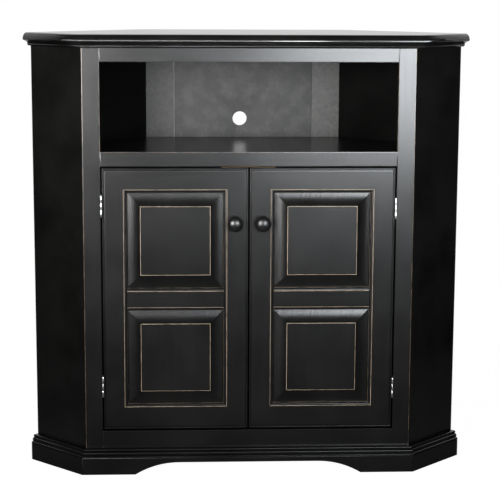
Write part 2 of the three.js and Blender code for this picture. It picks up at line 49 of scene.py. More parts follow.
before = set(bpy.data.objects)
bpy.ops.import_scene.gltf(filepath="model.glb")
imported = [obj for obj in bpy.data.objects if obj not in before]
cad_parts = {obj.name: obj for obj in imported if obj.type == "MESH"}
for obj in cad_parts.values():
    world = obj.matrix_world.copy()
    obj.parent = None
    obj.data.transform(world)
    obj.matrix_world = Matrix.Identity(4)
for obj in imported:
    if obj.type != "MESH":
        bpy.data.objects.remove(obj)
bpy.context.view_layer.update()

# The photograph's camera, solved against the cabinet's own sizes, from the face of the cabinet
PHOTO_WIDTH = 500
FOCAL_PIXELS = 1551.9
SENSOR_WIDTH = 36.0
CAMERA_X = -0.1741
CAMERA_BEFORE_FACE = 3.6771
CAMERA_HEIGHT = 1.1852
CAMERA_YAW = 0.0480
CAMERA_PITCH = -0.1670
CAMERA_ROLL = 0.0045

FACE_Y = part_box("face_rail_middle")[0][1]
CARCASS_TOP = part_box("top_panel")[0][2]


class CabinetSettings(bpy.types.PropertyGroup):
    """Sizes and colours that change the cabinet's finish"""

    arris: bpy.props.FloatProperty(
        name="Arris",
        description="Round on the edges of the boards",
        default=1.2 * MM,
        min=0.2 * MM,
        max=3 * MM,
        unit="LENGTH",
    )
    # Also sets how dark the painted seam shade along the back boards' edges is.
    edge_mark_amount: bpy.props.FloatProperty(
        name="Worn edge",
        description="How much of the wood shows through along the rubbed edges",
        default=0.85,
        min=0,
        max=1,
        subtype="FACTOR",
    )
    cove_steps: bpy.props.IntProperty(
        name="Cove steps",
        description="Steps across the hollow of each raised panel",
        default=18,
        min=6,
        max=40,
    )
    paint: bpy.props.FloatVectorProperty(
        name="Paint",
        description="Black paint",
        default=(0.0055, 0.0054, 0.0051),
        min=0,
        max=1,
        size=3,
        subtype="COLOR",
    )
    rubbed_wood: bpy.props.FloatVectorProperty(
        name="Rubbed wood",
        description="Wood that shows where the paint is rubbed through",
        default=(0.52, 0.40, 0.29),
        min=0,
        max=1,
        size=3,
        subtype="COLOR",
    )
    bare_wood: bpy.props.FloatVectorProperty(
        name="Bare wood",
        description="Unpainted softwood inside",
        default=(0.42, 0.29, 0.17),
        min=0,
        max=1,
        size=3,
        subtype="COLOR",
    )
    lacquer: bpy.props.FloatVectorProperty(
        name="Lacquer",
        description="Glossy black of the knobs",
        default=(0.006, 0.006, 0.006),
        min=0,
        max=1,
        size=3,
        subtype="COLOR",
    )
    steel: bpy.props.FloatVectorProperty(
        name="Steel",
        description="Zinc-plated steel",
        default=(0.72, 0.72, 0.70),
        min=0,
        max=1,
        size=3,
        subtype="COLOR",
    )
    plastic: bpy.props.FloatVectorProperty(
        name="Plastic",
        description="Moulded brown plastic of the catches",
        default=(0.10, 0.06, 0.035),
        min=0,
        max=1,
        size=3,
        subtype="COLOR",
    )


class StudioSettings(bpy.types.PropertyGroup):
    """Light round the cabinet"""

    right_light: bpy.props.FloatProperty(
        name="Right softbox",
        description="Power of the softbox on the right",
        default=11.5,
        min=0,
        unit="POWER",
    )
    left_light: bpy.props.FloatProperty(
        name="Left softbox",
        description="Power of the softbox on the left",
        default=18,
        min=0,
        unit="POWER",
    )
    ambient: bpy.props.FloatProperty(
        name="Ambient",
        description="Strength of the light from all round",
        default=0.3,
        min=0,
        max=1,
        subtype="FACTOR",
    )


def settings():
    return bpy.context.scene.cabinet


# Materials


def linked(tree, kind, inputs=None, **values):
    """Adds a node, sets its own values and its sockets, and returns it."""
    node = tree.nodes.new(kind)
    for key, value in values.items():
        setattr(node, key, value)
    for key, value in (inputs or {}).items():
        if isinstance(value, bpy.types.NodeSocket):
            tree.links.new(value, node.inputs[key])
        else:
            node.inputs[key].default_value = value
    return node


def opaque(colour):
    return (*colour, 1)


def fresh_material(name):
    material = bpy.data.materials.new(name)
    material.use_nodes = True
    tree = material.node_tree
    shader = tree.nodes["Principled BSDF"]
    return material, tree, shader


def stretched_noise(tree, stretch, scale, detail=4.0, roughness=0.55):
    """Noise on object coordinates, drawn out along the axis whose stretch is small."""
    place = linked(tree, "ShaderNodeTexCoord").outputs["Object"]
    mapped = linked(tree, "ShaderNodeMapping", {"Vector": place, "Scale": stretch})
    sockets = {
        "Vector": mapped.outputs["Vector"],
        "Scale": scale,
        "Detail": detail,
        "Roughness": roughness,
    }
    return linked(tree, "ShaderNodeTexNoise", sockets).outputs["Fac"]


def spread(tree, value, low, high, to_low, to_high):
    sockets = {
        "Value": value,
        "From Min": low,
        "From Max": high,
        "To Min": to_low,
        "To Max": to_high,
    }
    return linked(tree, "ShaderNodeMapRange", sockets).outputs["Result"]


def brushed_bump(tree, base, strength):
    """Slanting brush marks in the hollows of a panel, on top of another bump."""
    place = linked(tree, "ShaderNodeTexCoord").outputs["Object"]
    sockets = {
        "Vector": place,
        "Rotation": (0.0, math.radians(-32), 0.0),
        "Scale": (1.0, 1.0, 0.08),
    }
    slanted = linked(tree, "ShaderNodeMapping", sockets).outputs["Vector"]
    sockets = {"Vector": slanted, "Scale": 170.0, "Detail": 3.0, "Roughness": 0.6}
    marks = linked(tree, "ShaderNodeTexNoise", sockets).outputs["Fac"]
    where = linked(tree, "ShaderNodeAttribute", attribute_name=BRUSHED).outputs["Fac"]
    height = linked(tree, "ShaderNodeMath", {0: marks, 1: where}, operation="MULTIPLY")
    sockets = {
        "Strength": strength,
        "Distance": 1.0 * MM,
        "Height": height.outputs[0],
        "Normal": base.outputs["Normal"],
    }
    return linked(tree, "ShaderNodeBump", sockets)


def black_paint(
    name,
    grain,
    dullness=0.24,
    unevenness=0.01,
    relief=0.02,
    gloss=0.5,
    tone=1.0,
    mottling=9.0,
    edge_colour=None,
    brush_marks=0.0,
):
    """Satin black brushed over wood, with the grain along one axis and wood along rubbed edges; a given
    edge colour paints shade along the edges instead.
    """
    material, tree, shader = fresh_material(name)
    values = settings()
    streaks = stretched_noise(tree, grain, 160.0, 5.0, 0.6)
    clouds = stretched_noise(tree, (1, 1, 1), mottling, 3.0, 0.5)
    patches = stretched_noise(tree, (1, 1, 1), 34.0, 3.0, 0.6)
    mark = linked(tree, "ShaderNodeAttribute", attribute_name=WEAR_AND_SEAM_SHADE).outputs["Fac"]
    uneven = spread(tree, patches, 0.36, 0.56, 0.55, 1.0)
    # Edge mask: rubbed wear, and on the back boards a painted shade along the seams.
    rubbed = linked(tree, "ShaderNodeMath", {0: mark, 1: uneven}, operation="MULTIPLY")
    shown = spread(tree, rubbed.outputs[0], 0.12, 0.75, 0.0, values.edge_mark_amount)
    dull = spread(tree, clouds, 0.3, 0.7, 0.0, 1.0)
    darker = tuple(0.75 * tone * channel for channel in values.paint)
    warmer = tuple(1.5 * tone * channel for channel in values.paint)
    paint = linked(
        tree,
        "ShaderNodeMix",
        {"Factor": dull, "A": opaque(darker), "B": opaque(warmer)},
        data_type="RGBA",
    )
    # Edges take the rubbed wood colour unless an edge colour is given, which paints shade along them.
    sockets = {6: paint.outputs[2], 7: opaque(edge_colour or values.rubbed_wood), 0: shown}
    colour = linked(tree, "ShaderNodeMix", sockets, data_type="RGBA")
    tree.links.new(colour.outputs[2], shader.inputs["Base Color"])
    satin = spread(
        tree, clouds, 0.3, 0.7, dullness - unevenness, dullness + unevenness
    )
    grained = linked(
        tree,
        "ShaderNodeMath",
        {0: satin, 1: spread(tree, streaks, 0.3, 0.7, -0.015, 0.015)},
        operation="ADD",
    )
    tree.links.new(grained.outputs[0], shader.inputs["Roughness"])
    bump = linked(
        tree,
        "ShaderNodeBump",
        {"Strength": relief, "Distance": 0.25 * MM, "Height": streaks},
    )
    if brush_marks:
        bump = brushed_bump(tree, bump, brush_marks)
    tree.links.new(bump.outputs["Normal"], shader.inputs["Normal"])
    shader.inputs["Specular IOR Level"].default_value = gloss
    return material


def plain_material(name, colour, roughness, metallic, grain, scale, relief):
    """A finish whose tone, gloss and relief vary a little with one stretched noise."""
    material, tree, shader = fresh_material(name)
    noise = stretched_noise(tree, grain, scale)
    dark = tuple(0.8 * channel for channel in colour)
    light = tuple(min(1.0, 1.15 * channel) for channel in colour)
    sockets = {0: noise, 6: opaque(dark), 7: opaque(light)}
    tone = linked(tree, "ShaderNodeMix", sockets, data_type="RGBA")
    tree.links.new(tone.outputs[2], shader.inputs["Base Color"])
    gloss = spread(tree, noise, 0.3, 0.7, 0.85 * roughness, 1.15 * roughness)
    tree.links.new(gloss, shader.inputs["Roughness"])
    sockets = {"Strength": 0.3, "Distance": relief, "Height": noise}
    bump = linked(tree, "ShaderNodeBump", sockets)
    tree.links.new(bump.outputs["Normal"], shader.inputs["Normal"])
    shader.inputs["Metallic"].default_value = metallic
    return material


UPRIGHT = (1.0, 1.0, 0.04)
LEVEL = (0.04, 1.0, 1.0)


def finish(name):
    """The cabinet's materials, each made once."""
    made = bpy.data.materials.get(name)
    if made:
        return made
    values = settings()
    makers = {
        "paint_upright": lambda: black_paint(name, UPRIGHT),
        "paint_level": lambda: black_paint(name, LEVEL),
        "paint_panel": lambda: black_paint(name, UPRIGHT, brush_marks=0.35),
        # Back boards: the plain paint colour on their edges, far darker than the rest of their paint, is
        # a painted shade along the seams.
        "paint_back": lambda: black_paint(
            name, (1.0, 1.0, 0.5), 0.6, 0.06, 0.5, 0.3, 7.0, 120.0, edge_colour=values.paint
        ),
        "paint_inside": lambda: black_paint(name, UPRIGHT, 0.6, 0.04, 0.1, 0.05, 0.4),
        "paint_shelf": lambda: black_paint(name, LEVEL, 0.24, 0.01, 0.02, 0.4),
        "paint_top": lambda: black_paint(name, LEVEL, 0.17, 0.01, 0.01),
        "bare_wood": lambda: plain_material(
            name, values.bare_wood, 0.6, 0.0, LEVEL, 90.0, 0.3 * MM
        ),
        "lacquer": lambda: plain_material(
            name, values.lacquer, 0.3, 0.0, (1, 1, 1), 12.0, 0.02 * MM
        ),
        "steel": lambda: plain_material(
            name, values.steel, 0.28, 1.0, UPRIGHT, 400.0, 0.03 * MM
        ),
        "plastic": lambda: plain_material(
            name, values.plastic, 0.5, 0.0, (1, 1, 1), 300.0, 0.05 * MM
        ),
    }
    return makers[name]()


# Meshes


def wear_and_seam_shade_layer(bm):
    return bm.verts.layers.float.get(WEAR_AND_SEAM_SHADE) or bm.verts.layers.float.new(WEAR_AND_SEAM_SHADE)


def solid_of(node):
    """A CAD node's mesh with its corners merged and its flat faces made whole."""
    bm = bmesh.new()
    bm.from_mesh(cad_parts[node].data)
    bmesh.ops.remove_doubles(bm, verts=bm.verts, dist=0.01 * MM)
    bmesh.ops.dissolve_limit(
        bm, angle_limit=math.radians(0.5), verts=bm.verts, edges=bm.edges
    )
    wear_and_seam_shade_layer(bm)
    return bm


def soften(bm, width, edge_mark=0.0, sharp_from=30.0, border=2.0 * MM, segments=3):
    """Rounds the sharp edges, frames each flat face with a narrow border, and marks the edges for rubbed
    wear, and on the back boards for a painted seam shade.
    """
    layer = wear_and_seam_shade_layer(bm)
    limit = math.radians(sharp_from)
    sharp = [e for e in bm.edges if len(e.link_faces) == 2 and e.calc_face_angle() > limit]
    made = bmesh.ops.bevel(
        bm,
        geom=sharp,
        offset=width,
        segments=segments,
        profile=0.5,
        affect="EDGES",
        clamp_overlap=True,
        material=-1,
    )
    rounds = set(made["faces"])
    flats = [f for f in bm.faces if f not in rounds]
    for vert in bm.verts:
        inner = all(face in rounds for face in vert.link_faces)
        vert[layer] = edge_mark if inner else 0.55 * edge_mark
    if border:
        framed = [f for f in flats if min(e.calc_length() for e in f.edges) > 1.5 * border]
        bmesh.ops.inset_individual(bm, faces=framed, thickness=border, use_even_offset=True)
        for face in framed:
            for vert in face.verts:
                vert[layer] = 0.0
    for face in bm.faces:
        face.smooth = True


def add_piece(name, bm, look, body=BODY, replaces=(), smooth_under=40.0, mitres=()):
    """Turns a bmesh into a finished piece that rides on a body."""
    limit = math.radians(smooth_under)
    creases = set(mitres)
    for edge in bm.edges:
        folded = len(edge.link_faces) == 2 and edge.calc_face_angle() > limit
        edge.smooth = not (folded or edge in creases)
    mesh = bpy.data.meshes.new(name)
    bm.to_mesh(mesh)
    bm.free()
    mesh.materials.append(finish(look))
    piece = bpy.data.objects.new(name, mesh)
    bpy.context.scene.collection.objects.link(piece)
    if replaces:
        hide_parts(*replaces)
    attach(piece, body)
    return piece


def mirrored_copy(bm, side):
    """The shape as drawn for the right, or its mirror image for the left."""
    if SIDES[side] < 0:
        bmesh.ops.scale(bm, verts=bm.verts, vec=(-1, 1, 1))
        bmesh.ops.reverse_faces(bm, faces=bm.faces)
    return bm


def bar(profile, start, direction, across, depth, length):
    """A moulded bar: an outline of (across, depth, wear) points drawn out along a direction."""
    bm = bmesh.new()
    layer = wear_and_seam_shade_layer(bm)
    corners = []
    for u, v, edge_mark in profile:
        vert = bm.verts.new(start + across * u + depth * v)
        vert[layer] = edge_mark
        corners.append(vert)
    end = bm.faces.new(corners)
    made = bmesh.ops.extrude_face_region(bm, geom=[end])["geom"]
    moved = [item for item in made if isinstance(item, bmesh.types.BMVert)]
    bmesh.ops.translate(bm, verts=moved, vec=direction * length)
    bmesh.ops.recalc_face_normals(bm, faces=bm.faces)
    return bm


def cut_off(bm, point, normal):
    """Cuts away what lies on the normal's side of a plane and closes the cut."""
    geom = list(bm.verts) + list(bm.edges) + list(bm.faces)
    cut = bmesh.ops.bisect_plane(
        bm, geom=geom, plane_co=point, plane_no=normal, clear_outer=True, dist=0.001 * MM
    )
    edges = [item for item in cut["geom_cut"] if isinstance(item, bmesh.types.BMEdge)]
    bmesh.ops.edgeloop_fill(bm, edges=edges)
    bmesh.ops.recalc_face_normals(bm, faces=bm.faces)


def arc(centre_u, centre_v, radius_u, radius_v, first, last, steps, edge_mark=0.0):
    """Points on a quarter or part ellipse, angles in degrees."""
    points = []
    for i in range(steps + 1):
        angle = math.radians(first + (last - first) * i / steps)
        u = centre_u + radius_u * math.cos(angle)
        v = centre_v + radius_v * math.sin(angle)
        points.append((u, v, edge_mark))
    return points


# Carcass


def score(bm, axis, values):
    """Adds edge loops across the whole mesh at some heights or distances."""
    for value in values:
        geom = list(bm.verts) + list(bm.edges) + list(bm.faces)
        normal = Vector([1 if i == axis else 0 for i in range(3)])
        bmesh.ops.bisect_plane(
            bm, geom=geom, plane_co=normal * value, plane_no=normal, dist=0.001 * MM
        )


def rub_stile(bm, side):
    """A stile is rubbed along its outer arris, and inwards only beside the open bay."""
    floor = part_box("face_rail_middle")[1][2]
    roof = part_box("face_rail_top")[0][2]
    low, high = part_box(f"face_stile_{side}")
    middle = (low[0] + high[0]) / 2
    score(bm, 2, (floor - 2 * MM, floor, roof, roof + 2 * MM))
    layer = wear_and_seam_shade_layer(bm)
    for vert in bm.verts:
        inner = (vert.co.x - middle) * SIDES[side] < 0
        if inner and not floor - MM < vert.co.z < roof + MM:
            vert[layer] = 0.0


def rub_rail(bm, node, rubbed):
    """A rail is rubbed only along the edge that bounds the open bay, and not at its ends."""
    low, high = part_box(node)
    middle = (low[2] + high[2]) / 2
    score(bm, 0, (low[0] + 2 * MM, low[0] + 4 * MM, high[0] - 4 * MM, high[0] - 2 * MM))
    layer = wear_and_seam_shade_layer(bm)
    for vert in bm.verts:
        upper = vert.co.z > middle
        at_end = min(vert.co.x - low[0], high[0] - vert.co.x) < 3 * MM
        if at_end or upper != (rubbed == "upper") or rubbed == "none":
            vert[layer] = 0.0


BOARDS = {
    "face_stile_right": ("paint_upright", 0.6),
    "face_stile_left": ("paint_upright", 0.6),
    "face_rail_bottom": ("paint_level", 0.25),
    "face_rail_middle": ("paint_level", 0.55),
    "face_rail_top": ("paint_level", 0.3),
    "return_panel_right": ("paint_upright", 0.0),
    "return_panel_left": ("paint_upright", 0.0),
    "wall_panel_right": ("paint_inside", 0.1),
    "wall_panel_left": ("paint_inside", 0.1),
    # Back board and strips: their full edge marks become a painted shade along the seams, not wear.
    "back_board": ("paint_back", 1.0),
    "back_strip_right": ("paint_back", 1.0),
    "back_strip_left": ("paint_back", 1.0),
    "bay_floor": ("paint_shelf", 0.2),
    "cupboard_floor": ("paint_level", 0.1),
    "adjustable_shelf": ("paint_level", 0.3),
}


RAILS = {"face_rail_bottom": "none", "face_rail_middle": "upper", "face_rail_top": "lower"}


class CABINET_OT_boards(bpy.types.Operator):
    """Add the flat boards of the carcass with eased and rubbed edges, and a painted seam shade along the
    back boards' edges
    """

    bl_idname = "cabinet.boards"
    bl_label = "Boards"

    def execute(self, context):
        for node, (look, edge_mark) in BOARDS.items():
            bm = solid_of(node)
            tight = node.startswith("face_")
            soften(bm, settings().arris * (0.12 if tight else 0.3), edge_mark)
            if node.startswith("face_stile"):
                rub_stile(bm, node.split("_")[-1])
            elif node in RAILS:
                rub_rail(bm, node, RAILS[node])
            add_piece(f"{node}_dressed", bm, look, replaces=[node])
        return {"FINISHED"}


# Moulded edge of the top, from the underside up: reach and height as shares
TOP_OVERHANG = 24.5 * MM
MITRE = math.tan(math.radians(22.5))
LOWER_BEAD_REACH_SHARE = 0.46
LOWER_BEAD_HEIGHT_SHARE = 0.2
UPPER_BEAD_SHARE = 0.66


def top_profile():
    """(reach, height) shares: a small lower bead, a slanting hollow and a full upper bead."""
    points = [(0.18, 0.0), (0.3, 0.0)]
    for u, v, _ in arc(0.34, 0.14, 0.11, 0.08, -70, 60, 7):
        points.append((u, v))
    for i in range(1, 7):
        share = i / 7
        points.append((0.41 + 0.46 * share, 0.22 + 0.2 * share**0.7))
    for u, v, _ in arc(0.9, 0.52, 0.1, 0.09, -70, 0, 6):
        points.append((u, v))
    for u, v, _ in arc(0.45, 0.52, 0.55, 0.48, 5, 90, 18):
        points.append((u, v))
    return points


def top_ring(reach, height):
    """The top's six corners at a height, with a given overhang at the face and returns."""
    low, high = (Vector(corner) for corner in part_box("top_panel"))
    face_low, face_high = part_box("face_stile_right")
    face_half = face_high[0] + 0.8 * MM
    widest_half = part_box("return_panel_right")[1][0]
    corner_y = FACE_Y + widest_half - face_half
    rear_half = widest_half + corner_y - high.y
    slant = reach * math.sqrt(0.5)
    half = [
        (face_half + reach * MITRE, FACE_Y - reach),
        (widest_half + slant, corner_y - slant),
        (rear_half, high.y),
    ]
    loop = half + [(-x, y) for x, y in reversed(half)]
    return [Vector((x, y, height)) for x, y in loop]


class CABINET_OT_top(bpy.types.Operator):
    """Add the top with its moulded edge"""

    bl_idname = "cabinet.top"
    bl_label = "Top"

    def execute(self, context):
        low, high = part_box("top_panel")
        thickness = high[2] - low[2]
        bm = bmesh.new()
        layer = wear_and_seam_shade_layer(bm)
        profile = top_profile()
        first = top_ring(TOP_OVERHANG * profile[0][0], CARCASS_TOP)
        face = bm.faces.new([bm.verts.new(corner) for corner in first])
        for reach_share, height_share in profile[1:]:
            made = bmesh.ops.extrude_face_region(bm, geom=[face])["geom"]
            face = next(item for item in made if isinstance(item, bmesh.types.BMFace))
            height = CARCASS_TOP + thickness * height_share
            ring = top_ring(TOP_OVERHANG * reach_share, height)
            for vert, corner in zip(face.verts, ring):
                vert.co = corner
                vert[layer] = 0.0
        bmesh.ops.remove_doubles(bm, verts=bm.verts, dist=0.01 * MM)
        bmesh.ops.recalc_face_normals(bm, faces=bm.faces)
        for face in bm.faces:
            face.smooth = True
        mitres = [e for e in bm.edges if abs(e.verts[0].co.z - e.verts[1].co.z) > 0.01 * MM]
        add_piece("top_panel_dressed", bm, "paint_top", replaces=["top_panel"], mitres=mitres)
        return {"FINISHED"}


BASE_PLAIN_HEIGHT = 42 * MM


def base_profile(thickness, height):
    """(out, up, wear) points of the base moulding: three beads that step back as they rise."""
    points = [(0, 0, 0.0), (thickness - 0.8 * MM, 0, 0.0)]
    beads = ((1.0, 0.0, 0.2, 0.10), (0.84, 0.3, 0.62, 0.10), (0.66, 0.7, 0.98, 0.1))
    for reach, foot, head, bulge in beads:
        centre = (foot + head) / 2 * height
        radius = (head - foot) / 2 * height
        out = (reach - bulge) * thickness
        points += arc(out, centre, bulge * thickness, radius, -80, 80, 8)
    return points + [(0.5 * thickness, height, 0.0), (0, height, 0.0)]


class CABINET_OT_base(bpy.types.Operator):
    """Add the base boards with their moulded upper edge"""

    bl_idname = "cabinet.base"
    bl_label = "Base"

    def execute(self, context):
        for node in ("base_front", "base_side_right", "base_side_left"):
            bm = solid_of(node)
            cut_off(bm, Z * BASE_PLAIN_HEIGHT, Z)
            soften(bm, 0.4 * MM, 0.0, border=1.5 * MM, segments=2)
            add_piece(f"{node}_dressed", bm, "paint_level", replaces=[node])
        self.add_mouldings()
        return {"FINISHED"}

    def add_mouldings(self):
        """Lays the moulding on the front board, and its mitred lengths on the side boards."""
        low, high = (Vector(corner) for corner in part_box("base_front"))
        side_low, side_high = (Vector(corner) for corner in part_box("base_side_right"))
        thickness = high.y - low.y
        height = high.z - BASE_PLAIN_HEIGHT
        profile = base_profile(thickness, height)
        bm = bar(profile, Vector((low.x - 20 * MM, high.y, BASE_PLAIN_HEIGHT)), X, -Y, Z,
                 high.x - low.x + 40 * MM)
        for sign in (1, -1):
            corner = Vector((sign * high.x, low.y, 0))
            normal = Vector((sign * math.cos(math.radians(22.5)), math.sin(math.radians(22.5)), 0))
            cut_off(bm, corner - normal * 0.1 * MM, normal)
        self.add_moulding("base_front_moulding", bm)
        for side, sign in SIDES.items():
            slant = Vector((sign, 1, 0)).normalized()
            outward = Vector((sign, -1, 0)).normalized()
            corner = Vector((sign * high.x, low.y, BASE_PLAIN_HEIGHT))
            length = (Vector((sign * side_high.x, 0, 0)) - corner).x * sign * math.sqrt(2)
            start = corner - outward * thickness - slant * 20 * MM
            bm = bar(profile, start, slant, outward, Z, length + 20 * MM)
            normal = Vector((-sign * math.cos(math.radians(22.5)), -math.sin(math.radians(22.5)), 0))
            cut_off(bm, Vector((corner.x, corner.y, 0)) - normal * 0.1 * MM, normal)
            rear = side_high.y
            geom_low = min(v.co.y for v in bm.verts)
            if rear > geom_low:
                cut_off(bm, Y * rear, Y)
            self.add_moulding(f"base_side_{side}_moulding", bm)

    def add_moulding(self, name, bm):
        for face in bm.faces:
            face.smooth = True
        add_piece(name, bm, "paint_level", smooth_under=35)


# Doors


DOOR_THICKNESS = 20 * MM
STICKING = 7 * MM
STICKING_DEPTH = 7 * MM
STICKING_QUIRK = 1.6 * MM
BEAD = 3.5 * MM
BEAD_SINK = 0.8 * MM
QUIRK = 1.5 * MM
QUIRK_DEPTH = 3 * MM
DOOR_ARRIS = 1.6 * MM
PANEL_ARRIS = 0.8 * MM
COVE_WIDTH = 32 * MM
COVE_SINK = 3 * MM
COVE_FOOT_SLOPE = 0.14
COVE_POWER = 2.6
TONGUE_LENGTH = 7 * MM
TONGUE_THICKNESS = 6 * MM
FIELD_STEP = 2 * MM


def beaded_edge():
    """The outer edge of a door member: a bead, a quirk and an eased arris."""
    radius = BEAD / 2
    points = arc(radius, BEAD_SINK + radius, radius, radius, 180, 360, 8, 0.0)
    foot = BEAD + QUIRK
    points += [(BEAD, QUIRK_DEPTH, 0.0), (foot, QUIRK_DEPTH, 0.0)]
    points += arc(foot + DOOR_ARRIS, DOOR_ARRIS, DOOR_ARRIS, DOOR_ARRIS, 180, 270, 4, 0.08)
    return points + [(foot + DOOR_ARRIS + 2 * MM, 0, 0.0)]


def sticking_edge(face):
    """The inner edge: a sharp rubbed arris, a quirk and an ovolo that falls to the panel."""
    points = [(face - 3.2 * MM, 0, 0.0), (face - PANEL_ARRIS - 0.3 * MM, 0, 0.1)]
    points += arc(face - PANEL_ARRIS, PANEL_ARRIS, PANEL_ARRIS, PANEL_ARRIS, 270, 360, 3, 0.9)
    points += [(face, STICKING_QUIRK, 0.0)]
    bow = STICKING - STICKING_QUIRK
    drop = STICKING_DEPTH - STICKING_QUIRK
    foot = face + STICKING_QUIRK
    points += arc(foot, STICKING_QUIRK + drop, bow, drop, 270, 325, 5, 0.0)
    points += arc(foot, STICKING_QUIRK + drop, bow, drop, 336, 360, 3, 0.4)
    sight = face + STICKING
    return points + [(sight, DOOR_THICKNESS, 0.0)]


def member_profile(width):
    face = width - STICKING
    return beaded_edge() + sticking_edge(face) + [(0, DOOR_THICKNESS, 0.0)]


def crossbar_profile(width):
    """The middle rail has the sticking on both edges."""
    half = width / 2 - STICKING
    upper = sticking_edge(half)
    return upper + [(-u, v, edge_mark) for u, v, edge_mark in reversed(upper)]


DOOR_SHIFT = {"right": 1, "left": -1}
X = Vector((1, 0, 0))
Y = Vector((0, 1, 0))
Z = Vector((0, 0, 1))
GLUE_LINE = 0.12 * MM


def door_box(side):
    """Outer corners of a door's frame, from its stiles and rails."""
    names = ("stile_hinge", "stile_meeting", "rail_top", "rail_bottom")
    boxes = [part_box(f"door_{side}_{name}") for name in names]
    low = [min(box[0][i] for box in boxes) for i in range(3)]
    high = [max(box[1][i] for box in boxes) for i in range(3)]
    return Vector(low), Vector(high)


class CABINET_OT_door_frames(bpy.types.Operator):
    """Add the mitred frames of both doors"""

    bl_idname = "cabinet.door_frames"
    bl_label = "Door frames"

    def execute(self, context):
        for side in SIDES:
            self.add_frame(side)
        return {"FINISHED"}

    def add_frame(self, side):
        low, high = door_box(side)
        size = high - low
        boxes = {name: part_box(f"door_{side}_{name}") for name in
                 ("stile_hinge", "stile_meeting", "rail_top", "rail_middle", "rail_bottom")}
        widths = {name: box[1][0] - box[0][0] for name, box in boxes.items()}
        heights = {name: box[1][2] - box[0][2] for name, box in boxes.items()}
        stile = widths["stile_hinge"]
        top = heights["rail_top"]
        bottom = heights["rail_bottom"]
        corners = {
            (0, 0): (Vector((low.x, low.y, low.z)), stile, bottom),
            (1, 0): (Vector((high.x, low.y, low.z)), stile, bottom),
            (0, 1): (Vector((low.x, low.y, high.z)), stile, top),
            (1, 1): (Vector((high.x, low.y, high.z)), stile, top),
        }

        def mitre_plane(right, upper, keep_rail):
            corner, wide, tall = corners[(right, upper)]
            inward = Vector((-wide if right else wide, 0, -tall if upper else tall))
            normal = Vector((inward.z, 0, -inward.x)).normalized()
            towards_rail = Vector((-1 if right else 1, 0, 0))
            if (normal.dot(towards_rail) > 0) == keep_rail:
                normal = -normal
            return corner - normal * GLUE_LINE, normal

        def upright(name, right):
            start = Vector((high.x if right else low.x, low.y, low.z))
            across = -X if right else X
            bm = bar(member_profile(stile), start, Z, across, Y, size.z)
            for upper in (0, 1):
                cut_off(bm, *mitre_plane(right, upper, keep_rail=False))
            self.add_member(side, name, bm, "paint_upright")

        def level(name, upper, width):
            start = Vector((low.x, low.y, high.z if upper else low.z))
            across = -Z if upper else Z
            bm = bar(member_profile(width), start, X, across, Y, size.x)
            for right in (0, 1):
                cut_off(bm, *mitre_plane(right, upper, keep_rail=True))
            self.add_member(side, name, bm, "paint_level")

        hinge_right = side == "right"
        upright("stile_hinge", hinge_right)
        upright("stile_meeting", not hinge_right)
        level("rail_top", 1, top)
        level("rail_bottom", 0, bottom)
        box_low, box_high = boxes["rail_middle"]
        middle = Vector((box_low[0], low.y, (box_low[2] + box_high[2]) / 2))
        length = box_high[0] - box_low[0]
        bm = bar(crossbar_profile(heights["rail_middle"]), middle, X, Z, Y, length)
        self.add_member(side, "rail_middle", bm, "paint_level")

    def add_member(self, side, name, bm, look):
        for face in bm.faces:
            face.smooth = True
        node = f"door_{side}_{name}"
        add_piece(f"{node}_dressed", bm, look, f"{side}_door", [node], smooth_under=35)


class CABINET_OT_door_panels(bpy.types.Operator):
    """Add the raised panels of both doors"""

    bl_idname = "cabinet.door_panels"
    bl_label = "Door panels"

    def execute(self, context):
        for side in SIDES:
            for place in ("upper", "lower"):
                self.add_panel(side, f"door_{side}_panel_{place}")
        return {"FINISHED"}

    def add_panel(self, side, node):
        low, high = (Vector(corner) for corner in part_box(node))
        rear = high.y
        tongue_front = rear - TONGUE_THICKNESS
        field = low.y
        bm = bmesh.new()
        layer = wear_and_seam_shade_layer(bm)
        brushed = bm.verts.layers.float.new(BRUSHED)
        middle = Vector(((low.x + high.x) / 2, (rear + tongue_front) / 2, (low.z + high.z) / 2))
        size = (high.x - low.x, rear - tongue_front, high.z - low.z)
        bmesh.ops.create_cube(bm, size=1, matrix=Matrix.Translation(middle) @ Matrix.Diagonal((*size, 1)))
        bm.faces.ensure_lookup_table()
        face = min(bm.faces, key=lambda f: f.calc_center_median().y)

        def step(width, rise, edge_mark=0.0):
            bmesh.ops.inset_individual(bm, faces=[face], thickness=width, use_even_offset=True)
            for vert in face.verts:
                vert.co.y -= rise
                vert[layer] = edge_mark
                vert[brushed] = 0.0

        step(TONGUE_LENGTH, 0)
        step(0.5 * MM, -COVE_SINK)
        steps = settings().cove_steps
        rise = tongue_front - field - FIELD_STEP + COVE_SINK
        width = COVE_WIDTH - 0.5 * MM
        foot_rise = COVE_FOOT_SLOPE * width
        done_rise = 0.0
        for i in range(1, steps + 1):
            share = i / steps
            height = foot_rise * share + (rise - foot_rise) * share**COVE_POWER
            step(width / steps, height - done_rise)
            done_rise = height
            for vert in face.verts:
                vert[brushed] = 1.0 if i < steps else 0.0
        ease = 0.5 * MM
        step(0.05 * MM, FIELD_STEP - ease, 0.6)
        step(ease * 0.4, ease * 0.7, 1.0)
        step(ease * 0.9, ease * 0.3, 1.0)
        step(0.4 * MM, 0, 0.3)
        step(0.6 * MM, 0, 0.0)
        step(1.5 * MM, 0, 0.0)
        for each in bm.faces:
            each.smooth = True
        mitres = []
        for edge in bm.edges:
            run = edge.verts[1].co - edge.verts[0].co
            if min(abs(run.x), abs(run.z)) > 0.01 * MM:
                mitres.append(edge)
        add_piece(
            f"{node}_dressed", bm, "paint_panel", f"{side}_door", [node], 32, mitres
        )


# Knobs, hinges and fittings


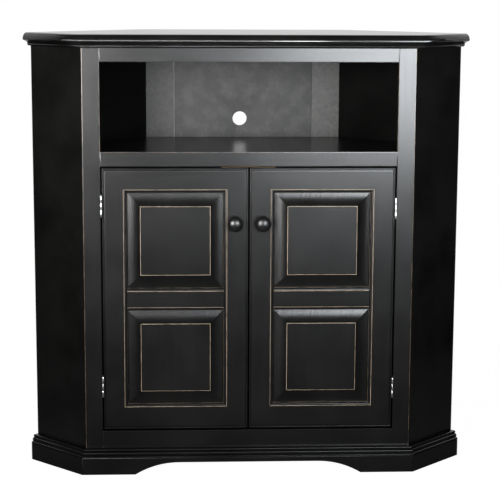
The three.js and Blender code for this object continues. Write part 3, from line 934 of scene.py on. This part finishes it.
def knob_profile(radius, reach):
    """(radius, reach) points of a mushroom knob from its foot to the middle of its face."""
    points = [(0.40 * radius, 0.0), (0.42 * radius, 0.03 * reach), (0.42 * radius, 0.07 * reach)]
    for u, v, _ in arc(0.46 * radius, 0.25 * reach, 0.13 * radius, 0.17 * reach, 250, 110, 10):
        points.append((u, v))
    for u, v, _ in arc(0.62 * radius, 0.66 * reach, 0.38 * radius, 0.2 * reach, -80, 10, 8):
        points.append((u, v))
    for i in range(1, 13):
        angle = math.radians(10 + 80 * i / 12)
        points.append((radius * math.cos(angle), reach * (0.66 + 0.34 * math.sin(angle))))
    return points


class CABINET_OT_knobs(bpy.types.Operator):
    """Add the lacquered knobs"""

    bl_idname = "cabinet.knobs"
    bl_label = "Knobs"

    def execute(self, context):
        for side in SIDES:
            node = f"door_{side}_knob"
            low, high = (Vector(corner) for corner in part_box(node))
            radius = (high.x - low.x) / 2
            centre = Vector(((low.x + high.x) / 2, high.y, (low.z + high.z) / 2))
            bm = bmesh.new()
            wear_and_seam_shade_layer(bm)
            points = knob_profile(radius, high.y - low.y)
            ring = [bm.verts.new(centre + X * r - Y * h) for r, h in points]
            edges = [bm.edges.new(pair) for pair in zip(ring, ring[1:])]
            bmesh.ops.spin(
                bm, geom=ring + edges, cent=centre, axis=Y, angle=math.tau, steps=64, use_merge=True
            )
            bmesh.ops.remove_doubles(bm, verts=bm.verts, dist=0.02 * MM)
            rims = [e for e in bm.edges if e.is_boundary]
            bmesh.ops.edgeloop_fill(bm, edges=rims)
            bmesh.ops.recalc_face_normals(bm, faces=bm.faces)
            for face in bm.faces:
                face.smooth = True
            add_piece(f"{node}_dressed", bm, "lacquer", f"{side}_door", [node], smooth_under=60)
        return {"FINISHED"}


class CABINET_OT_hinges(bpy.types.Operator):
    """Add the steel butt hinges"""

    bl_idname = "cabinet.hinges"
    bl_label = "Hinges"

    def execute(self, context):
        for side in SIDES:
            for place in ("lower", "upper"):
                parts = {
                    f"hinge_{place}_frame_leaf_{side}": BODY,
                    f"hinge_{place}_pin_{side}": BODY,
                    f"door_{side}_hinge_leaf_{place}": f"{side}_door",
                }
                for node, body in parts.items():
                    bm = solid_of(node)
                    soften(bm, 0.15 * MM, border=0, segments=2, sharp_from=40)
                    add_piece(f"{node}_dressed", bm, "steel", body, [node])
        return {"FINISHED"}


def fastener_head(bm, place, normal, radius, proud):
    """A low domed head with a sunk middle, at a place on a face."""
    turn = normal.to_track_quat("Z", "Y").to_matrix().to_4x4()
    made = bmesh.ops.create_circle(
        bm, cap_ends=True, segments=20, radius=radius, matrix=Matrix.Translation(place) @ turn
    )
    disc = made["verts"][0].link_faces[0]
    if disc.normal.dot(normal) < 0:
        bmesh.ops.reverse_faces(bm, faces=[disc])
    bmesh.ops.translate(bm, verts=disc.verts, vec=normal * -0.3 * MM)
    raised = bmesh.ops.extrude_face_region(bm, geom=[disc])["geom"]
    cap = next(item for item in raised if isinstance(item, bmesh.types.BMFace))
    bmesh.ops.translate(bm, verts=cap.verts, vec=normal * (0.3 * MM + proud * 0.6))
    bmesh.ops.inset_individual(bm, faces=[cap], thickness=radius * 0.25, depth=0)
    bmesh.ops.translate(bm, verts=cap.verts, vec=normal * proud * 0.4)
    bmesh.ops.inset_individual(bm, faces=[cap], thickness=radius * 0.35, depth=0)
    bmesh.ops.inset_individual(bm, faces=[cap], thickness=radius * 0.08, depth=0)
    bmesh.ops.translate(bm, verts=cap.verts, vec=normal * -0.2 * MM)


class CABINET_OT_fasteners(bpy.types.Operator):
    """Add the nails of the back and the screws of the hinges"""

    bl_idname = "cabinet.fasteners"
    bl_label = "Nails and screws"

    def execute(self, context):
        bm = bmesh.new()
        face_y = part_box("back_board")[0][1]
        for sign in (1, -1):
            for height in (0.16, 0.3, 0.44, 0.58, 0.72, 0.886, 0.985):
                place = Vector((sign * 0.215, face_y, height))
                fastener_head(bm, place, -Y, 2.2 * MM, 0.35 * MM)
        self.add_heads("back_nails", bm, "lacquer", BODY)
        for side, sign in SIDES.items():
            for place in ("lower", "upper"):
                names = {
                    f"hinge_{place}_frame_leaf_{side}": (BODY, -sign),
                    f"door_{side}_hinge_leaf_{place}": (f"{side}_door", sign),
                }
                for node, (body, facing) in names.items():
                    self.add_screws(node, body, facing)
        return {"FINISHED"}

    def add_screws(self, node, body, facing):
        low, high = (Vector(corner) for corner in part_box(node))
        face_x = self.leaf_face(node, facing)
        bm = bmesh.new()
        middle = (low.z + high.z) / 2
        for offset in (-17 * MM, 0, 17 * MM):
            place = Vector((face_x, high.y - 8 * MM, middle + offset))
            fastener_head(bm, place, X * facing, 2.3 * MM, 0.08 * MM)
        self.add_heads(f"{node}_screws", bm, "steel", body)

    def leaf_face(self, node, facing):
        """Where the flat of a leaf lies, away from its rolled edge."""
        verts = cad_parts[node].data.vertices
        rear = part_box(node)[1][1]
        flat = [v.co.x for v in verts if v.co.y > rear - 2 * MM]
        return max(flat) if facing > 0 else min(flat)

    def add_heads(self, name, bm, look, body):
        bmesh.ops.recalc_face_normals(bm, faces=bm.faces)
        for face in bm.faces:
            face.smooth = True
        add_piece(name, bm, look, body, smooth_under=30)


FITTINGS = {
    "stop_block": ("bare_wood", BODY, 0.8),
    "magnetic_catch_right": ("plastic", BODY, 0.6),
    "magnetic_catch_left": ("plastic", BODY, 0.6),
    "shelf_pin_front_right": ("steel", BODY, 0.4),
    "shelf_pin_front_left": ("steel", BODY, 0.4),
    "shelf_pin_rear_right": ("steel", BODY, 0.4),
    "shelf_pin_rear_left": ("steel", BODY, 0.4),
    "door_right_strike_plate": ("steel", "right_door", 0.3),
    "door_left_strike_plate": ("steel", "left_door", 0.3),
    "door_right_knob_screw": ("steel", "right_door", 0.2),
    "door_left_knob_screw": ("steel", "left_door", 0.2),
}


class CABINET_OT_fittings(bpy.types.Operator):
    """Add the catches, strike plates, shelf pins and screws"""

    bl_idname = "cabinet.fittings"
    bl_label = "Fittings"

    def execute(self, context):
        for node, (look, body, ease) in FITTINGS.items():
            bm = solid_of(node)
            soften(bm, ease * MM, border=0, sharp_from=40)
            add_piece(f"{node}_dressed", bm, look, body, [node])
        return {"FINISHED"}


# Studio


def softbox(name, place, target, width, height, power, colour):
    light = bpy.data.lights.new(name, "AREA")
    light.shape = "RECTANGLE"
    light.color = colour
    light.spread = math.radians(50)
    light.size = width
    light.size_y = height
    light.energy = power
    lamp = bpy.data.objects.new(name, light)
    bpy.context.scene.collection.objects.link(lamp)
    lamp.location = place
    lamp.visible_camera = False
    lamp.rotation_euler = (Vector(target) - Vector(place)).to_track_quat("-Z", "Y").to_euler()


def seen_as_background(tree):
    """1 for the rays that show a background: to the camera, in gloss and through glass."""
    path = linked(tree, "ShaderNodeLightPath")
    gloss = linked(
        tree,
        "ShaderNodeMath",
        {0: path.outputs["Is Camera Ray"], 1: path.outputs["Is Glossy Ray"]},
        operation="MAXIMUM",
    )
    glass = {0: gloss.outputs[0], 1: path.outputs["Is Transmission Ray"]}
    return linked(tree, "ShaderNodeMath", glass, operation="MAXIMUM").outputs[0]


def white_world(ambient):
    world = bpy.data.worlds.new("Studio")
    world.use_nodes = True
    bpy.context.scene.world = world
    tree = world.node_tree
    background = tree.nodes["Background"]
    background.inputs["Color"].default_value = (1, 1, 1, 1)
    shown = seen_as_background(tree)
    tree.links.new(spread(tree, shown, 0, 1, ambient, 1), background.inputs["Strength"])


def pale_floor():
    """A pale disc under the cabinet that keeps its shadow."""
    bm = bmesh.new()
    bmesh.ops.create_circle(bm, cap_ends=True, segments=96, radius=1.5)
    mesh = bpy.data.meshes.new("floor")
    bm.to_mesh(mesh)
    bm.free()
    floor = bpy.data.objects.new("floor", mesh)
    bpy.context.scene.collection.objects.link(floor)
    material, tree, shader = fresh_material("pale_floor")
    noise = stretched_noise(tree, (1, 1, 1), 3.0)
    sockets = {0: noise, 6: (0.3, 0.3, 0.3, 1), 7: (0.34, 0.34, 0.34, 1)}
    tone = linked(tree, "ShaderNodeMix", sockets, data_type="RGBA")
    tree.links.new(tone.outputs[2], shader.inputs["Base Color"])
    shader.inputs["Roughness"].default_value = 0.9
    shader.inputs["Specular IOR Level"].default_value = 0.0
    shader.inputs["Emission Color"].default_value = (1, 1, 1, 1)
    seen = linked(tree, "ShaderNodeLightPath").outputs["Is Camera Ray"]
    tree.links.new(spread(tree, seen, 0, 1, 0, 0.96), shader.inputs["Emission Strength"])
    mesh.materials.append(material)


def black_tent():
    """Black cloths left, right, above and behind the camera, never seen by the camera."""
    bm = bmesh.new()
    size = Vector((7.0, 9.0, 3.8))
    middle = Vector((0, -2.0, size.z / 2 - 0.02))
    matrix = Matrix.Translation(middle) @ Matrix.Diagonal((*size, 1))
    bmesh.ops.create_cube(bm, size=1, matrix=matrix)
    rear = max(bm.faces, key=lambda face: face.calc_center_median().y)
    bmesh.ops.delete(bm, geom=[rear], context="FACES_ONLY")
    mesh = bpy.data.meshes.new("black_tent")
    bm.to_mesh(mesh)
    bm.free()
    tent = bpy.data.objects.new("black_tent", mesh)
    bpy.context.scene.collection.objects.link(tent)
    material, tree, shader = fresh_material("black_cloth")
    shader.inputs["Base Color"].default_value = (0.01, 0.01, 0.01, 1)
    shader.inputs["Roughness"].default_value = 1.0
    shader.inputs["Specular IOR Level"].default_value = 0.0
    mesh.materials.append(material)
    tent.visible_camera = False
    tent.visible_transmission = False


def photograph_camera():
    data = bpy.data.cameras.new("camera")
    data.sensor_fit = "HORIZONTAL"
    data.sensor_width = SENSOR_WIDTH
    data.lens = FOCAL_PIXELS * SENSOR_WIDTH / PHOTO_WIDTH
    data.clip_end = 100
    camera = bpy.data.objects.new("camera", data)
    bpy.context.scene.collection.objects.link(camera)
    turn = Matrix.Rotation(-CAMERA_YAW, 4, "Z")
    nod = Matrix.Rotation(math.radians(90) + CAMERA_PITCH, 4, "X")
    roll = Matrix.Rotation(CAMERA_ROLL, 4, "Z")
    place = Matrix.Translation((CAMERA_X, FACE_Y - CAMERA_BEFORE_FACE, CAMERA_HEIGHT))
    camera.matrix_world = place @ turn @ nod @ roll
    bpy.context.scene.camera = camera


class CABINET_OT_studio(bpy.types.Operator):
    """Add the camera, floor, background and softboxes"""

    bl_idname = "cabinet.studio"
    bl_label = "Studio"

    def execute(self, context):
        studio = context.scene.cabinet_studio
        photograph_camera()
        pale_floor()
        black_tent()
        white_world(studio.ambient)
        target = (0, FACE_Y, 1.2)
        right_place = (0.95, -3.2, 1.15)
        left_place = (-1.42, -3.2, 1.15)
        cool = (0.92, 0.96, 1.0)
        softbox("softbox_right", right_place, target, 1.3, 1.2, studio.right_light, cool)
        softbox("softbox_left", left_place, target, 1.1, 1.2, studio.left_light, (1, 1, 1))
        context.scene.view_settings.view_transform = "Standard"
        return {"FINISHED"}


class CABINET_PT_panel(bpy.types.Panel):
    """Lists the cabinet's pieces"""

    bl_label = "Corner Cabinet"
    bl_idname = "CABINET_PT_panel"
    bl_space_type = "VIEW_3D"
    bl_region_type = "UI"
    bl_category = "Cabinet"

    def draw(self, context):
        layout = self.layout
        for group in (context.scene.cabinet, context.scene.cabinet_studio):
            for name in group.__annotations__:
                layout.prop(group, name)
        for operator in OPERATORS:
            layout.operator(operator.bl_idname)


OPERATORS = (
    CABINET_OT_studio,
    CABINET_OT_boards,
    CABINET_OT_top,
    CABINET_OT_base,
    CABINET_OT_door_frames,
    CABINET_OT_door_panels,
    CABINET_OT_knobs,
    CABINET_OT_hinges,
    CABINET_OT_fittings,
    CABINET_OT_fasteners,
)
GROUPS = (CabinetSettings, StudioSettings)


def register():
    for each in (*GROUPS, *OPERATORS, CABINET_PT_panel):
        bpy.utils.register_class(each)
    bpy.types.Scene.cabinet = bpy.props.PointerProperty(type=CabinetSettings)
    bpy.types.Scene.cabinet_studio = bpy.props.PointerProperty(type=StudioSettings)


def unregister():
    del bpy.types.Scene.cabinet_studio
    del bpy.types.Scene.cabinet
    for each in reversed((*GROUPS, *OPERATORS, CABINET_PT_panel)):
        bpy.utils.unregister_class(each)


def main():
    register()
    for operator in OPERATORS:
        group, name = operator.bl_idname.split(".")
        getattr(getattr(bpy.ops, group), name)()


if __name__ == "__main__":
    main()
